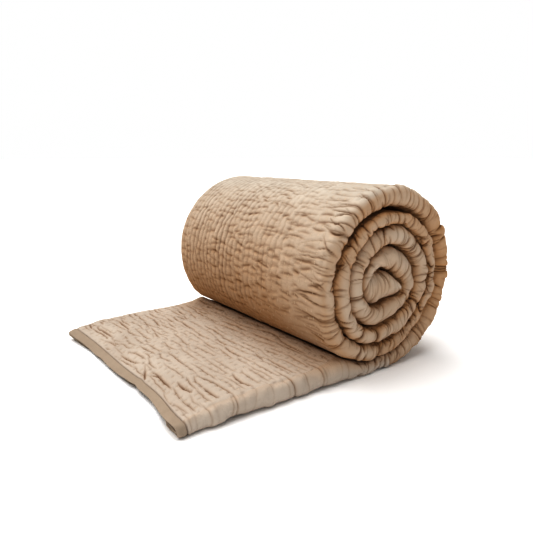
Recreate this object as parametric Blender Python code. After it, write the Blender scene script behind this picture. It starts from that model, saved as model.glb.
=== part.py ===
"""Kantha quilt: padded cotton cloth, folded lengthwise in four and rolled up, with its end lying out flat.

Metres, +Z up. The roll's axis runs along Y, the loose end lies towards -X and the floor is z = 0.

The folded quilt is a stack of four layers. A station is one cut across that stack. It has an outer point,
on the floor side, which becomes the outside of each turn, and an inner point, on the upper side, which
becomes the inside of each turn. Along the roll, stations are counted in eighths of a turn from the bottom,
anticlockwise as seen from the near end (-Y), where the spiral shows.
"""

import collections
import math

import bmesh
import bpy
import numpy as np

# Driving sizes
ROLL_RADIUS = 0.123
STACK_WIDTH = 0.372  # the quilt folded in four, from the near fold to the far loop
TAIL_REACH = 0.3195  # from the roll's axis to the bound end
TURN_GAP = 0.0020  # between one turn and the next
LAYER_GAP = 0.0012  # between one layer and the next
EDGE_SETBACK = 0.005  # the two free edges lie this far inside the far loop

# The end binding, a strip folded over the cloth's end
BINDING_WIDTH = 0.011
BINDING_WALL = 0.0007
CLEARANCE = 0.0003
END_BAY = 0.0045  # how far the bound end is drawn in at its most
BAY_Y = -0.085  # where that is
BAY_SPREAD = 0.065
CORNER_REACH = 0.003  # how far its far corner juts out
CORNER_Y = 0.060  # and from where on
OVERHANG = 0.005  # the top layer reaches this far past the three below it
DROOP = 0.0035  # and hangs down this far at its end
DROOP_LENGTH = 0.009
DROOP_EASE = 0.060  # next to the far loop, which stands open
WAVE_LENGTH = 0.12  # the bound end's shape and the overhang fade out over this length

# Radius of each turn's outer face, in roll radii. The fifth row is the last fold in the middle.
# bottom, low right, right, high right, top, high left, left, low left
TURN_RADII = (
    (1.00, 1.02, 1.01, 1.01, 1.00, 1.01, 1.03, 1.01),
    (0.83, 0.72, 0.72, 0.73, 0.77, 0.81, 0.85, 0.80),
    (0.65, 0.57, 0.59, 0.56, 0.59, 0.64, 0.65, 0.61),
    (0.44, 0.39, 0.36, 0.34, 0.37, 0.40, 0.44, 0.36),
    (0.22, 0.25),
)
# Inside of the last turn and top of the last fold, in roll radii from the axis: across, up
CORE_INSIDE = (
    (0.177, -0.177),  # low right, under the quilt's inner end
    (0.203, -0.080),  # right
    (0.131, -0.004),  # high right
    (0.022, 0.088),  # top
    (-0.150, 0.141),  # high left
    (-0.345, 0.066),  # left, the tight turn
    (-0.275, 0.094),  # start of the last fold's top
    (-0.085, 0.106),  # its middle
    (0.075, 0.004),  # its slope down to the point
)
CORE_START = 25  # eighth of a turn at which CORE_INSIDE starts
CORE_POINT = ((0.168, -0.140), (0.164, -0.092))  # outer and inner side of the soft point at the quilt's end
# Top of the lying end, in roll radii: distance from the axis, height
TAIL_TOP = (
    (2.57, 0.126),
    (2.47, 0.134),
    (2.20, 0.186),
    (1.60, 0.200),
    (1.10, 0.205),
    (0.86, 0.228),
    (0.73, 0.262),
)
# How far each turn's near fold stands out of the roll's end, in metres, a value for each turn
TURN_DRIFT = (0.0, 0.002, 0.004, 0.001, -0.002)
WEDGE_GAP = 0.0035  # extra space between the first two turns at the top
WEDGE_AT = 12.3  # eighth of a turn where that space is widest
WEDGE_HALF = 2.0  # and the eighths to either side over which it closes

CONTACT = 7  # eighth of a turn where the first turn comes down on the lying end
FINE_STEP = 1 / 4  # in eighths, along the turn that shows
COARSE_STEP = 1 / 2
TAIL_PITCH = 0.0125  # between stations along the lying end
OPEN_STATIONS = 3  # of those next to the binding, where the layers are open all the way in

NOSE_STEPS = 4  # of the near fold's half circle
LOOP_STEPS = 2  # of the far loop's and the inner fold's
OPEN_COLUMNS = 7  # points across each layer where the layers are open

CLOTH_COLOUR = (0.56, 0.39, 0.26, 1.0)
BINDING_COLOUR = (0.47, 0.36, 0.26, 1.0)


def clear_scene():
    for old in list(bpy.data.objects):
        bpy.data.objects.remove(old, do_unlink=True)


def smooth_between(values, position):
    """Catmull-Rom through evenly spaced values, or rows of them."""
    values = np.asarray(values, float)
    index = min(max(int(math.floor(position)), 0), len(values) - 2)
    share = position - index
    before = values[max(index - 1, 0)]
    start, end = values[index], values[index + 1]
    after = values[min(index + 2, len(values) - 1)]
    return 0.5 * (
        2 * start
        + (end - before) * share
        + (2 * before - 5 * start + 4 * end - after) * share**2
        + (3 * start - before - 3 * end + after) * share**3
    )


RADII = [radius for turn in TURN_RADII for radius in turn]
ROLL_END = len(RADII) - 1


def direction(eighths):
    """Unit vector (across, up) from the axis at this many eighths of a turn from the bottom."""
    angle = math.radians(45 * eighths - 90)
    return np.array((math.cos(angle), math.sin(angle)))


def seam_point(eighths, shift):
    """Point on the line between two turns, moved outward by shift."""
    radius = smooth_between(RADII, eighths) * ROLL_RADIUS + shift
    return direction(eighths) * radius + (0, ROLL_RADIUS)


def wedge(eighths):
    away = abs(eighths - WEDGE_AT) / WEDGE_HALF
    return WEDGE_GAP * math.cos(away * math.pi / 2) ** 2 if away < 1 else 0.0


class Station:
    """One cut across the stack: its outer and inner points (x, z), and whether its layers are open."""

    def __init__(self, outer, inner, turn=0.0):
        self.outer = np.asarray(outer, float)
        self.inner = np.asarray(inner, float)
        self.thick = float(np.linalg.norm(self.inner - self.outer))
        self.drift = -smooth_between(TURN_DRIFT, turn)
        self.layered = False
        self.inset = 0.0

    def open_layers(self, inset=0.0):
        """Opens the layers all the way in, each drawn in by inset."""
        self.layered = True
        self.inset = inset
        return self


def tail_top(distance):
    reach = [row[0] * ROLL_RADIUS for row in reversed(TAIL_TOP)]
    height = [row[1] * ROLL_RADIUS for row in reversed(TAIL_TOP)]
    return float(np.interp(distance, reach, height))


def tail_stations():
    """The lying end, from the binding to where the first turn comes down on it, and on under the roll."""
    seat = TAIL_REACH - BINDING_WIDTH
    first_contact = -seam_point(CONTACT, 0.0)[0]
    count = int(round((seat - first_contact) / TAIL_PITCH))
    stations = []
    for i in range(count):
        x = -seat + (seat - first_contact) * i / count
        stations.append(Station((x, 0), (x, tail_top(-x))))
    for eighths in np.arange(CONTACT, CONTACT + 1, FINE_STEP):
        top = seam_point(eighths, TURN_GAP / 2)
        stations.append(Station((top[0], 0), top))
    return stations


def roll_station(eighths):
    outer = seam_point(eighths, 0.0 if eighths < CONTACT else -TURN_GAP / 2 - wedge(eighths))
    if eighths + 8 <= ROLL_END:
        inner = seam_point(eighths + 8, TURN_GAP / 2)
    else:
        across, up = smooth_between(CORE_INSIDE, eighths - CORE_START) * ROLL_RADIUS
        inner = (across, up + ROLL_RADIUS)
    return Station(outer, inner, eighths / 8)


def roll_stations():
    fine = [i * FINE_STEP for i in range(int(round(CONTACT / FINE_STEP)))]
    coarse = [CONTACT + i * COARSE_STEP for i in range(int(round((ROLL_END - CONTACT) / COARSE_STEP)) + 1)]
    stations = [roll_station(eighths) for eighths in fine + coarse]
    point = [np.array(side) * ROLL_RADIUS + (0, ROLL_RADIUS) for side in CORE_POINT]
    stations.append(Station(point[0], point[1], ROLL_END / 8))
    return stations


# A point of the folded cloth's middle: its place (y, level), the direction that the quilt's face looks in,
# the share of the cloth's thickness it has, and how much it belongs to the top layer.
PathPoint = collections.namedtuple("PathPoint", "y level across up share top")


def run(start, end, level, side, columns, top=0.0, start_top=0.0):
    """Path points along one layer, without its end. side is 1 where the quilt's face looks up."""
    points = []
    for i in range(columns + 1):
        y = start + (end - start) * i / (columns + 1)
        points.append(PathPoint(y, level, 0, side, 1.0, top if i else max(top, start_top)))
    return points


def bend(centre, level, radius, start, end, steps, side, tops=(0, 0)):
    """Path points round one fold, without its end. side is 1 where the quilt's face is outside."""
    points = []
    for i in range(steps):
        share = i / steps
        angle = math.radians(start + (end - start) * share)
        across, up = math.cos(angle), math.sin(angle)
        top = tops[0] + (tops[1] - tops[0]) * share
        y, height = centre + radius * across, level + radius * up
        points.append(PathPoint(y, height, side * across, side * up, 1.0, top))
    return points


def cloth_path(station):
    """The folded cloth's path across a station, from the lower free edge to the upper one, in segments."""
    thick = station.thick
    cloth = (thick - 3 * LAYER_GAP) / 4
    pitch = cloth + LAYER_GAP
    levels = [cloth / 2 + i * pitch for i in range(4)]
    near = -STACK_WIDTH / 2 + thick / 2
    far = STACK_WIDTH / 2 - pitch / 2 - cloth / 2
    edge = STACK_WIDTH / 2 - EDGE_SETBACK - station.inset
    chamfer = min(0.0025, cloth / 2)
    columns = OPEN_COLUMNS if station.layered else 0
    middle = (levels[1] + levels[2]) / 2
    loop = (levels[2] + levels[3]) / 2
    segments = [
        [PathPoint(edge, levels[0], 0, -1, 0.4, 0.0)],
        run(edge - chamfer, near, levels[0], -1, columns),
        bend(near, middle, (thick - cloth) / 2, -90, -270, NOSE_STEPS, 1, (0, 1)),
        run(near, far, levels[3], 1, columns, 1),
        bend(far, loop, pitch / 2, 90, -90, LOOP_STEPS, 1, (1, 1)),
        run(far, near, levels[2], -1, columns, start_top=1),
        bend(near, middle, pitch / 2, 90, 270, LOOP_STEPS, -1),
        run(near, edge - chamfer, levels[1], 1, columns),
        [PathPoint(edge - chamfer, levels[1], 0, 1, 1.0, 0.0)],
        [PathPoint(edge, levels[1], 0, 1, 0.4, 0.0)],
    ]
    return segments, cloth


def end_shape(x, y, top):
    """How far the lying end strays along X and Z: it curves, and its top layer overhangs and droops."""
    from_end = x + TAIL_REACH
    fade = max(0.0, 1 - from_end / WAVE_LENGTH) ** 2
    bay = END_BAY * math.exp(-(((y - BAY_Y) / BAY_SPREAD) ** 2))
    corner = CORNER_REACH * max(0.0, (y - CORNER_Y) / (STACK_WIDTH / 2 - CORNER_Y)) ** 2
    from_loop = min(1.0, max(0.0, STACK_WIDTH / 2 - y) / DROOP_EASE)
    droop = DROOP * max(0.0, 1 - from_end / DROOP_LENGTH) * from_loop
    return fade * (bay - corner + OVERHANG * (1 - top)), -droop * top


def place(station, point, lift):
    """World point on the cloth, lift away from its middle on the side of its face."""
    y, height = point.y + point.across * lift, point.level + point.up * lift
    x, z = station.outer + (station.inner - station.outer) * (height / station.thick)
    along, down = end_shape(x, point.y, point.top)
    return (x + along, y + station.drift, z + down)


class Shell:
    """Vertices and faces of one closed solid that is lofted through rings."""

    def __init__(self):
        self.points = []
        self.faces = []

    def add(self, point):
        self.points.append(point)
        return len(self.points) - 1

    def ring(self, station):
        """Vertex numbers in segments: the quilt's face, and its back where the layers are open."""
        segments, cloth = cloth_path(station)
        half = cloth / 2 - station.inset
        front, back = [], []
        for segment in segments:
            front.append([])
            back.append([])
            for point in segment:
                front[-1].append(self.add(place(station, point, half * point.share)))
                if station.layered:
                    back[-1].append(self.add(place(station, point, -half * point.share)))
        return front, back

    def bridge(self, one, two, split=None):
        """Faces between two open chains of segments, quads where their counts match.

        split cuts the quads from the first chain's start, or from the second's, so that two skins that
        lie close together are cut alike.
        """
        for i in range(len(one)):
            a = one[i] + (one[i + 1][:1] if i + 1 < len(one) else [])
            b = two[i] + (two[i + 1][:1] if i + 1 < len(two) else [])
            if len(a) != len(b):
                self.faces.append(tuple(a + b[::-1]))
                continue
            for j in range(len(a) - 1):
                quad = (a[j], a[j + 1], b[j + 1], b[j])
                if split == "first":
                    self.faces += [quad[:3], (quad[0], quad[2], quad[3])]
                elif split == "second":
                    self.faces += [(quad[0], quad[1], quad[3]), quad[1:]]
                else:
                    self.faces.append(quad)

    def cap(self, front, back):
        """Closes a layered ring with quads from the face to the back."""
        a = [v for segment in front for v in segment]
        b = [v for segment in back for v in segment]
        self.faces += [(a[j], b[j], b[j + 1], a[j + 1]) for j in range(len(a) - 1)]


def loft_layered(shell, one, two, split="first"):
    """Walls between two rings whose layers are open."""
    shell.bridge(one[0], two[0], split)
    shell.bridge(two[1], one[1], split)
    for end in (0, -1):
        a, b = one[0][end][end], two[0][end][end]
        c, d = two[1][end][end], one[1][end][end]
        shell.faces.append((d, c, b, a) if end == 0 else (a, b, c, d))


def loft_fused(shell, one, two):
    """Walls between two rings of the closed stack, with the blunt pair of free edges."""
    shell.bridge(one[0], two[0])
    shell.faces.append((one[0][-1][-1], two[0][-1][-1], two[0][0][0], one[0][0][0]))


def make_object(name, shell, colour, roughness):
    mesh = bpy.data.meshes.new(name)
    mesh.from_pydata(shell.points, [], shell.faces)
    work = bmesh.new()
    work.from_mesh(mesh)
    bmesh.ops.recalc_face_normals(work, faces=work.faces)
    work.to_mesh(mesh)
    work.free()
    mesh.shade_smooth()
    mesh.set_sharp_from_angle(angle=math.radians(50))
    piece = bpy.data.objects.new(name, mesh)
    bpy.context.scene.collection.objects.link(piece)
    material = bpy.data.materials.new(name)
    material.use_nodes = True
    shader = material.node_tree.nodes["Principled BSDF"]
    shader.inputs["Base Color"].default_value = colour
    shader.inputs["Roughness"].default_value = roughness
    shader.inputs["Metallic"].default_value = 0.0
    mesh.materials.append(material)
    return piece


def end_station(x, inset):
    """A cut through the bound end, whose layers are open."""
    return Station((x, 0), (x, tail_top(-x))).open_layers(inset)


def quilt_shell():
    """The cloth: a tongue inside the binding, the open layers, then the stack with one slit, rolled up."""
    shell = Shell()
    mouth = -TAIL_REACH + BINDING_WIDTH + CLEARANCE
    tongue = BINDING_WALL + CLEARANCE
    stations = [end_station(-TAIL_REACH + along, tongue) for along in (tongue, DROOP_LENGTH)]
    stations += [end_station(mouth, tongue), end_station(mouth, 0.0)]
    beyond = tail_stations()[1:] + roll_stations()
    stations += [station.open_layers() for station in beyond[:OPEN_STATIONS]] + beyond[OPEN_STATIONS:]
    rings = [shell.ring(station) for station in stations]
    shell.cap(*rings[0])
    for one, two, before, after in zip(rings, rings[1:], stations, stations[1:]):
        if after.layered:
            loft_layered(shell, one, two)
            continue
        if before.layered:
            # The layers are fused from here on, so the space between them ends in a wall.
            inside = [v for segment in one[1] for v in segment]
            shell.faces.append((one[0][0][0], *inside, one[0][-1][-1]))
        loft_fused(shell, one, two)
    shell.faces.append(tuple(v for segment in rings[-1][0] for v in segment))
    return shell


def binding_shell():
    """A strip with a wall on each side of the cloth, closed at the quilt's end and open towards the roll."""
    shell = Shell()
    end = -TAIL_REACH
    mouth = end + BINDING_WIDTH
    turn = end + DROOP_LENGTH
    outside = [(end, BINDING_WALL * 0.8), (end + BINDING_WALL, 0.0), (turn, 0.0), (mouth, 0.0)]
    inside = [(mouth, BINDING_WALL), (turn, BINDING_WALL), (end + BINDING_WALL, BINDING_WALL)]
    rings = [shell.ring(end_station(x, inset)) for x, inset in outside + inside]
    shell.cap(*rings[0])
    for i, (one, two) in enumerate(zip(rings, rings[1:])):
        # The inner skin runs back towards the end, and is cut the way that the cloth inside it is.
        loft_layered(shell, one, two, "first" if i < len(outside) else "second")
    shell.cap(*rings[-1])
    return shell


def centre(shells):
    """Moves the origin to the middle of the footprint, on the floor."""
    points = np.vstack([np.array(shell.points) for shell in shells])
    low, high = points.min(axis=0), points.max(axis=0)
    shift = np.array(((low[0] + high[0]) / 2, (low[1] + high[1]) / 2, low[2]))
    for shell in shells:
        shell.points = [tuple(np.array(point) - shift) for point in shell.points]


clear_scene()
quilt, binding = quilt_shell(), binding_shell()
centre([quilt, binding])
make_object("quilt", quilt, CLOTH_COLOUR, 0.9)
make_object("end_binding", binding, BINDING_COLOUR, 0.85)
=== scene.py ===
"""Looks of the rolled kantha quilt: quilted cloth with its stitches, the end binding, light and camera.

Metres, +Z up. A station is one cut across the folded stack, with an outer point on the floor side and an
inner point on the upper side. Along the roll, stations are counted in eighths of a turn from the bottom.
On the cloth, s runs along the quilt from its bound end. Stitch rows run along s and are counted across
the cloth round every fold: 0 to FOLD_ROWS round the near fold, less on the outer face, more inside.
"""

import collections
import math

import bpy
import numpy as np
from mathutils import Matrix, Vector


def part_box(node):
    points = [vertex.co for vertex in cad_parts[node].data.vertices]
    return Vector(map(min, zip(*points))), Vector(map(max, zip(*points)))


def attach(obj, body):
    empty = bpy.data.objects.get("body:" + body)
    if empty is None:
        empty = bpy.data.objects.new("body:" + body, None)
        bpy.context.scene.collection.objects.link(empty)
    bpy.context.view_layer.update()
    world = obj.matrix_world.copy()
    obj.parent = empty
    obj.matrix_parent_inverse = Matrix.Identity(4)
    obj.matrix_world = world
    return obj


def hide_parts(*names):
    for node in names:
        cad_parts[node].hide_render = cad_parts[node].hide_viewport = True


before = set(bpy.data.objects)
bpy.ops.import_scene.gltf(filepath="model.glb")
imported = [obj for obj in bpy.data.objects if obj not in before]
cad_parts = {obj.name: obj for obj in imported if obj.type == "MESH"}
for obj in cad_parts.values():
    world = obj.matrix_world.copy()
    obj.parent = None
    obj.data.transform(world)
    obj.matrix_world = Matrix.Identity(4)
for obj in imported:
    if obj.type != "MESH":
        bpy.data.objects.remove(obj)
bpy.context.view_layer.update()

# The stack's sizes, the same as the solid's
ROLL_RADIUS = 0.123
STACK_WIDTH = 0.372  # the quilt folded in four, from the near fold to the far loop
TAIL_REACH = 0.3195  # from the roll's axis to the bound end
TURN_GAP = 0.0020  # between one turn and the next
LAYER_GAP = 0.0012  # between one layer and the next
EDGE_SETBACK = 0.005  # the two free edges lie this far inside the far loop
BINDING_WIDTH = 0.011
BINDING_WALL = 0.0007
END_BAY = 0.0045  # how far the bound end is drawn in at its most
BAY_Y = -0.085  # where that is
BAY_SPREAD = 0.065
CORNER_REACH = 0.003  # how far its far corner juts out
CORNER_Y = 0.060  # and from where on
OVERHANG = 0.005  # the top layer reaches this far past the three below it
WAVE_LENGTH = 0.12  # the bound end's shape and the overhang fade out over this length

# What the bound end does past the solid's shape: the top layer hangs down over the others
DROOP_FAR = 0.0045
DROOP_NEAR = 0.0020
DROOP_CHANGE = (-0.03, 0.05)  # where across the stack the near value turns into the far one
DROOP_UNEVEN = 0.0012
DROOP_LENGTH = 0.013
SQUASH = 0.52  # how much flatter the layers below it lie, at the very end
SQUASH_LENGTH = 0.022
SAG_FROM_FOLD = 0.050  # both start over this width from the near fold
SAG_FROM_LOOP = 0.020
PRESS = 0.33  # between its corners the whole end is pressed flatter and drawn in
PRESS_LENGTH = 0.05
PRESS_STARTS = (-0.165, -0.10)  # where across the stack that starts
PRESS_FADES = 0.10  # and from where it fades towards the far side
DRAW_IN = 0.007
RAGGED = 0.0022  # how unevenly the layers below the top one end
LOOP_EASE = 0.044  # over which the third layer draws back under the top one

# Radius of each turn's outer face, in roll radii. The fifth row is the last fold in the middle.
# bottom, low right, right, high right, top, high left, left, low left
TURN_RADII = (
    (1.00, 1.02, 1.01, 1.01, 1.00, 1.01, 1.03, 1.01),
    (0.83, 0.72, 0.72, 0.73, 0.77, 0.81, 0.85, 0.80),
    (0.65, 0.57, 0.59, 0.56, 0.59, 0.64, 0.65, 0.61),
    (0.44, 0.39, 0.36, 0.34, 0.37, 0.40, 0.44, 0.36),
    (0.22, 0.25),
)
# Inside of the last turn and top of the last fold, in roll radii from the axis: across, up
CORE_INSIDE = (
    (0.177, -0.177),  # low right, under the quilt's inner end
    (0.203, -0.080),  # right
    (0.131, -0.004),  # high right
    (0.022, 0.088),  # top
    (-0.150, 0.141),  # high left
    (-0.345, 0.066),  # left, the tight turn
    (-0.275, 0.094),  # start of the last fold's top
    (-0.085, 0.106),  # its middle
    (0.075, 0.004),  # its slope down to the point
)
CORE_START = 25  # eighth of a turn at which CORE_INSIDE starts
CORE_POINT = ((0.168, -0.140), (0.164, -0.092))
# Top of the lying end, in roll radii: distance from the axis, height
TAIL_TOP = (
    (2.57, 0.126), (2.47, 0.134), (2.20, 0.186), (1.60, 0.200), (1.10, 0.205), (0.86, 0.228), (0.73, 0.262),
)
# How far each turn's near fold stands out of the roll's end, in metres, a value for each turn
TURN_DRIFT = (0.0, 0.002, 0.004, 0.001, -0.002)
WEDGE_GAP = 0.0035  # extra space between the first two turns at the top
WEDGE_AT = 12.3  # eighth of a turn where that space is widest
WEDGE_HALF = 2.0  # and the eighths to either side over which it closes
CONTACT = 7  # eighth of a turn where the first turn comes down on the lying end
ROUNDING = 0.004  # spread along s that rounds off the corners between the tables' points

# Quilting
ROW_PITCH = 0.0115  # between rows of running stitch
FOLD_ROWS = 3  # rows round the near fold
FACE_ROWS = 30  # rows across a face, from the near fold to the far edge
PILLOW = 0.0013  # how far the padding swells between rows
FACE_BUMPS = 0.0007  # uneven padding on the faces
FOLD_BUMPS = 0.0013  # and round the near fold
ROW_DEPTH = 0.0011
CREASE_DEPTH = 0.0016
TROUGH_DEPTH = 0.0012  # the wide dip round a crease
TROUGH_SPREAD = 3.2  # and its width, in crease widths
TUCK = 0.0014  # how far the cloth is pressed in under the end binding

# The end binding's strip: places along s, each with a height as a share of the cloth's half thickness.
# The outside starts at the mouth on top, the inside at the mouth below. The other halves mirror them.
STRIP_OUTSIDE = (
    (BINDING_WIDTH, 0.90), (BINDING_WIDTH - 0.0006, 1.04), (BINDING_WIDTH - 0.002, 1.10),
    (0.0075, 1.12), (0.0045, 1.08), (0.0025, 0.98),
)
STRIP_NOSE, NOSE_ANGLES = (0.0022, 0.92), (0.5, 0.9, 1.25)  # and round the end
STRIP_INSIDE = (BINDING_WIDTH, -0.62), (0.006, -0.62), (BINDING_WALL + 0.001, -0.4)
STRIP_COLUMNS = (40, 150)

# Running stitches, and the sections of one thread: place along its half length, girth, rise, as shares
THREAD_LENGTH = 0.0042
THREAD_THICK = 0.0007
THREAD_SIDES = 6
THREAD_SECTIONS = (-1, 0.2, -0.6), (-0.7, 1, 0.1), (0, 1, 0.3), (0.7, 1, 0.1), (1, 0.2, -0.6)
LYING_PITCH = 0.0145  # from one stitch to the next on the lying end
ROLLED_PITCH = 0.0110

# The pinch in the bound edge, where a crease pulls it in
PINCH_Y = -0.048
PINCH_IN = 0.0024
PINCH_WIDTH = 0.008
PINCH_LENGTH = 0.03
PINCH_DROP = 0.15  # how far it goes down, as a share of how far it goes in
# The creases there: s, first and last row from the pinch, depth, its shares at both ends, width, slant
PINCH_CREASES = (
    (0.021, -0.2, 1.6, 1.6, 0.7, 0.1, 0.0011, 0.016),
    (0.030, -1.6, -0.1, 0.9, 0.1, 0.5, 0.0009, -0.009),
    (0.028, 0.6, 2.6, 0.8, 0.3, 0.1, 0.0009, 0.012),
)

# Pleats round the near fold, on the lying end and on the roll: steps from one to the next, and depths
LYING_PLEAT_STEPS = (0.006, 0.011, 0.015, 0.022)
LYING_PLEAT_DEPTHS = (0.25, 0.5, 0.8)
ROLLED_PLEAT_STEPS = (0.0014, 0.0022, 0.0030, 0.0042, 0.0060)
ROLLED_PLEAT_DEPTHS = (0.45, 0.7, 1.0, 1.5)
ROLLED_PLEAT_WIDTHS = (0.0006, 0.0008, 0.0012)
RIM_PLEAT_ROWS = (0.9, 1.5, 2.4, 4.2)  # how far those on the outer turn reach over its outside
RIM_PLEAT_DEPTHS = (0.5, 0.9, 1.4)

# How deep a painted shade the outer turn's outside and each turn's near end get: eighths of a turn, shade
SHADE_ON_FACE = (0.0, 2.0, 4.4, 5.2, 6.0, 6.9), (0.8, 0.45, 0.0, 0.30, 0.65, 1.0)
SHADE_ON_NOSES = (
    (-0.5, 0.0, 2.0, 4.0, 7.0, 9.0, 16.0, 24.0),
    (0.0, 0.45, 0.85, 0.55, 0.5, 0.6, 0.45, 0.35),
)
# Painted shade on the far loops and hems, in the slit between the layers, on the lying end where the roll
# comes down, and round each crease's trough
SHADE_ON_LOOPS = 0.45
SHADE_IN_SLIT = 0.8
SHADE_BY_ROLL = 0.5
SHADE_IN_TROUGHS = 0.25

# Colours: cloth from dark to light, and the browns that painted shade and painted crease shadow turn it to
ROLLED_CLOTH = (0.560, 0.500, 0.430), (0.620, 0.560, 0.485)
# The lying end's cloth is a darker copy of the rolled cloth: painted shade, where the roll keeps light off
# it
LYING_CLOTH_SHADED = (0.495, 0.425, 0.360), (0.560, 0.490, 0.420)
CLOTH_IN_SHADE = (0.47, 0.285, 0.150)
CLOTH_IN_CREASE_SHADOW = (0.16, 0.078, 0.032)
BINDING_CLOTH = (0.36, 0.290, 0.225), (0.43, 0.350, 0.275)
THREAD = (0.56, 0.43, 0.30), (0.72, 0.58, 0.43)
FLOOR = (0.97, 0.97, 0.97)

# Where the quilt is cut into pieces: lengths from the bound end, from the contact, and eighths of a turn
TONGUE = 0.006  # the cloth's mesh starts here, inside the end binding
OPEN_LENGTH = 0.045  # over which the layers stand open at the bound end
UNDER_ROLL = 0.018
OFF_FLOOR, OVERHEAD, FALLING, PAST_CONTACT = 0.30, 2.9, 5.0, 7.2
LYING_PAST_CONTACT = 0.02  # the cloth counts as lying this far past the contact
TOPMOST = 4.1  # eighth of a turn that faces up, where the relief is weakest
STITCHED = 0.6, 6.9  # eighths between which the roll's outside shows stitches

# Mesh steps
LINE_STEP = 0.001
EIGHTH_STEP = 0.01
STATION_STEP = 0.0012
FINE_COLUMNS = 184
HIDDEN_COLUMNS = 16
FOLD_COLUMNS = 30
FOLD_SQUARE = 2.3  # above 2, the near fold is fuller at its corners than a circle
LOOP_COLUMNS = 14
EDGE_COLUMNS = 4
SLIT_DEPTH = 0.045  # how far the slit between the layers goes in from the far edge
CREASE_IN = 0.014  # and the crease between the two free edges

# The photograph's frame, and the camera's place seen from the roll's foot, in roll radii and radians
FRAME_PIXELS = 533
FOCAL_PIXELS = 515.12
SENSOR = 36.0
CAMERA_TURN = -0.62417
CAMERA_RISE = 0.21153
CAMERA_DISTANCE = 6.36757
TARGET = (-0.58978, 0.0, 0.95731)

# Floor and light
FLOOR_REACH = 40.0
FLOOR_BELOW = 0.0003  # it lies this far under the quilt
HORIZON = 0.27, 1.0  # up to which height the sky is white, and how bright
SKY = 0.40, 0.42  # from which height it is at its dimmest, and how bright
LAMP_STRENGTH = 3.3
LAMP_SPREAD = 65  # degrees
LAMP_DIRECTION = (0.16, -0.22, -0.96)
GAMMA = 0.66

# Where the solid stands
AXIS_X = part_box("end_binding")[0][0] + TAIL_REACH + CORNER_REACH
MIDDLE_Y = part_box("end_binding")[0][1] + STACK_WIDTH / 2


# ---------- smooth curves and noise

def smooth_between(values, positions):
    """Catmull-Rom through evenly spaced values, or rows of them, at an array of positions."""
    values = np.asarray(values, float)
    positions = np.asarray(positions, float)
    index = np.clip(np.floor(positions).astype(int), 0, len(values) - 2)
    share = positions - index
    if values.ndim > 1:
        share = share[:, None]
    before = values[np.maximum(index - 1, 0)]
    start, end = values[index], values[index + 1]
    after = values[np.minimum(index + 2, len(values) - 1)]
    return 0.5 * (
        2 * start
        + (end - before) * share
        + (2 * before - 5 * start + 4 * end - after) * share**2
        + (3 * start - before - 3 * end + after) * share**3
    )


def ease(value, low, high):
    """0 below low, 1 above high, smooth between."""
    share = np.clip((value - low) / (high - low), 0, 1)
    return share * share * (3 - 2 * share)


def bell(value):
    return np.exp(-value * value)


def noise(seed, a, b=0.0):
    """Smooth noise from about -1 to 1 over the plane (a, b), with features about one unit wide."""
    size = 97
    lattice = np.random.default_rng(seed).uniform(-1, 1, (size, size))
    a, b = np.broadcast_arrays(np.asarray(a, float), np.asarray(b, float))
    i, j = np.floor(a).astype(int), np.floor(b).astype(int)
    x, y = a - i, b - j
    x, y = x * x * x * (x * (6 * x - 15) + 10), y * y * y * (y * (6 * y - 15) + 10)
    i, j, right, up = i % size, j % size, (i + 1) % size, (j + 1) % size
    low = lattice[i, j] * (1 - x) + lattice[right, j] * x
    high = lattice[i, up] * (1 - x) + lattice[right, up] * x
    return 1.5 * (low * (1 - y) + high * y)


# ---------- the stack's line

RADII = [radius for turn in TURN_RADII for radius in turn]
ROLL_END = len(RADII) - 1


def direction(eighths):
    angle = np.radians(45 * eighths - 90)
    return np.stack((np.cos(angle), np.sin(angle)), axis=1)


def seam_points(eighths, shift):
    """Points on the line between two turns, moved outward by shift."""
    radius = smooth_between(RADII, eighths) * ROLL_RADIUS + shift
    return direction(eighths) * radius[:, None] + (0, ROLL_RADIUS)


def wedge(eighths):
    away = np.clip(np.abs(eighths - WEDGE_AT) / WEDGE_HALF, 0, 1)
    return WEDGE_GAP * np.cos(away * np.pi / 2) ** 2


def tail_top(distance):
    reach = [row[0] * ROLL_RADIUS for row in reversed(TAIL_TOP)]
    height = [row[1] * ROLL_RADIUS for row in reversed(TAIL_TOP)]
    return np.interp(distance, reach, height)


def roll_sides(eighths):
    """Outer and inner points of the rolled stretch."""
    hidden = np.where(eighths >= CONTACT, TURN_GAP / 2 + wedge(eighths), 0.0)
    outer = seam_points(eighths, -hidden)
    inner = seam_points(np.minimum(eighths + 8, ROLL_END), TURN_GAP / 2)
    core = smooth_between(CORE_INSIDE, eighths - CORE_START) * ROLL_RADIUS + (0, ROLL_RADIUS)
    return outer, np.where((eighths + 8 <= ROLL_END)[:, None], inner, core)


def rounded(s, values):
    """Values, given at even lengths s, with their corners rounded off and their ends kept."""
    step = s[1] - s[0]
    reach = int(3 * ROUNDING / step)
    weight = bell(np.arange(-reach, reach + 1) * step / (ROUNDING * math.sqrt(2)))
    before = 2 * values[0] - values[reach:0:-1]
    after = 2 * values[-1] - values[-2 : -reach - 2 : -1]
    return np.convolve(np.concatenate((before, values, after)), weight / weight.sum(), "valid")


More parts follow.
